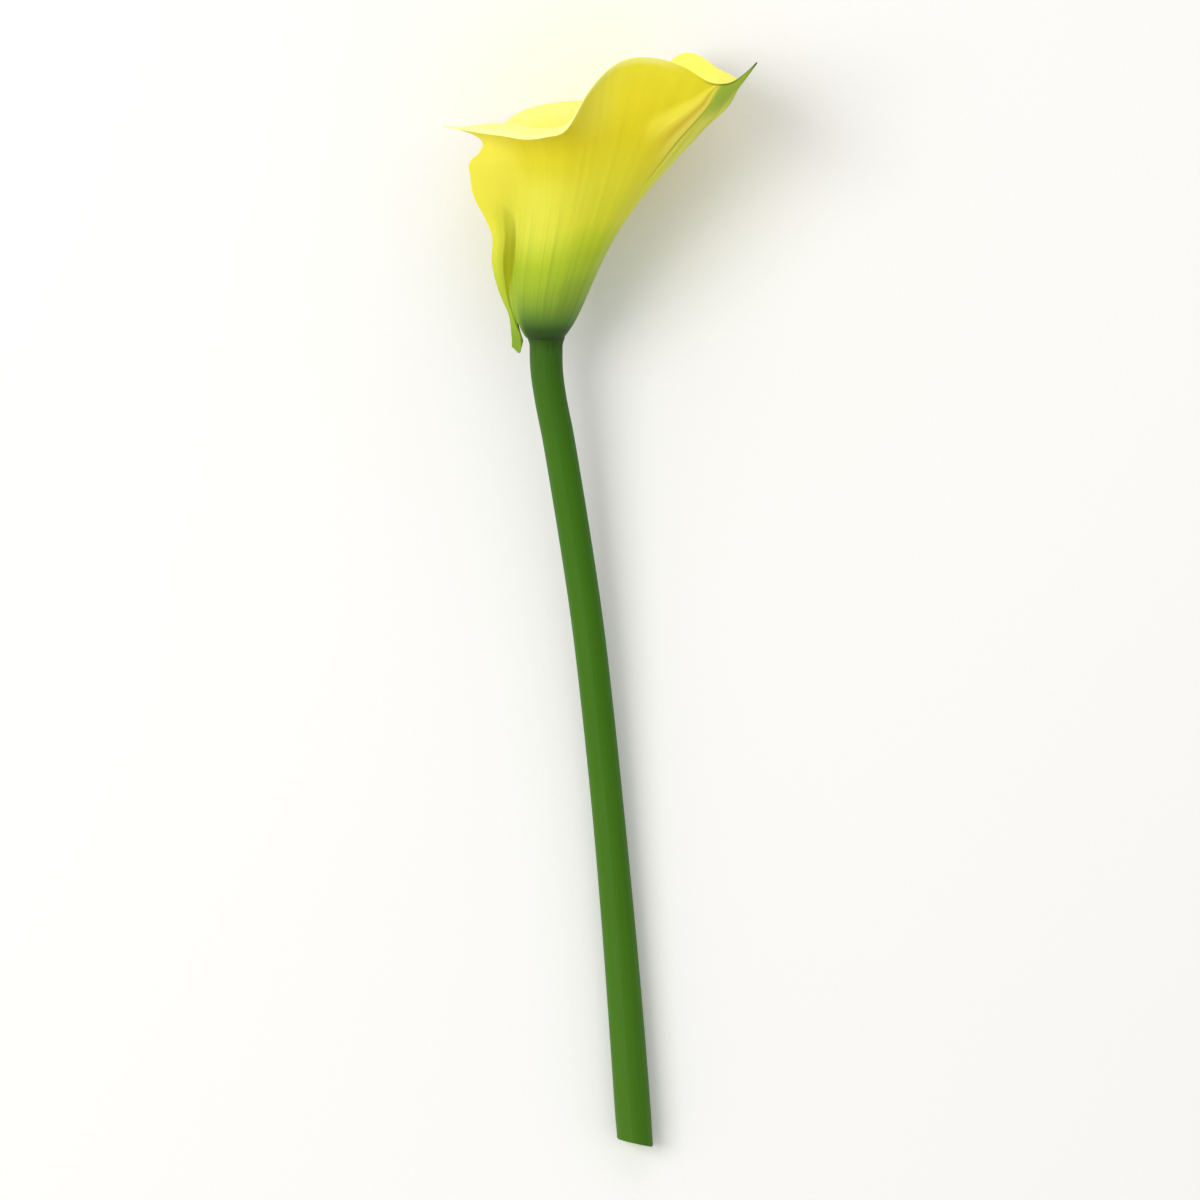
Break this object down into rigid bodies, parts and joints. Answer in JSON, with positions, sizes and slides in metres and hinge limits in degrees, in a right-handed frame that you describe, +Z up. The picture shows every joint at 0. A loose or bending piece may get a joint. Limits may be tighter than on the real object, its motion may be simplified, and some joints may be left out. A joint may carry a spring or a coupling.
{
  "type": "arum lily flower",
  "caption": "Cut arum lily flower lying on its side: a funnel-shaped spathe wrapped round a spadix on a smooth stem, for floral displays and still lifes.",
  "frame": {"origin": "middle of the footprint, on the surface that the flower lies on", "axes": "+Y along the flower from the cut end of the stem to the spathe, +Z up, towards the side that the picture shows, +X towards the spathe's tip"},
  "size_m": [0.0738, 0.2582, 0.0553],
  "materials": {
    "stem": "fresh green stem, smooth, with a soft waxy sheen",
    "spathe": "yellow petal tissue, green at the foot, fine lengthwise veins, slightly translucent",
    "spadix": "close-set matte yellow florets"
  },
  "bodies": {
    "root": {"stem": "stem", "spathe": "spathe", "spadix": "spadix"}
  },
  "joints": []
}
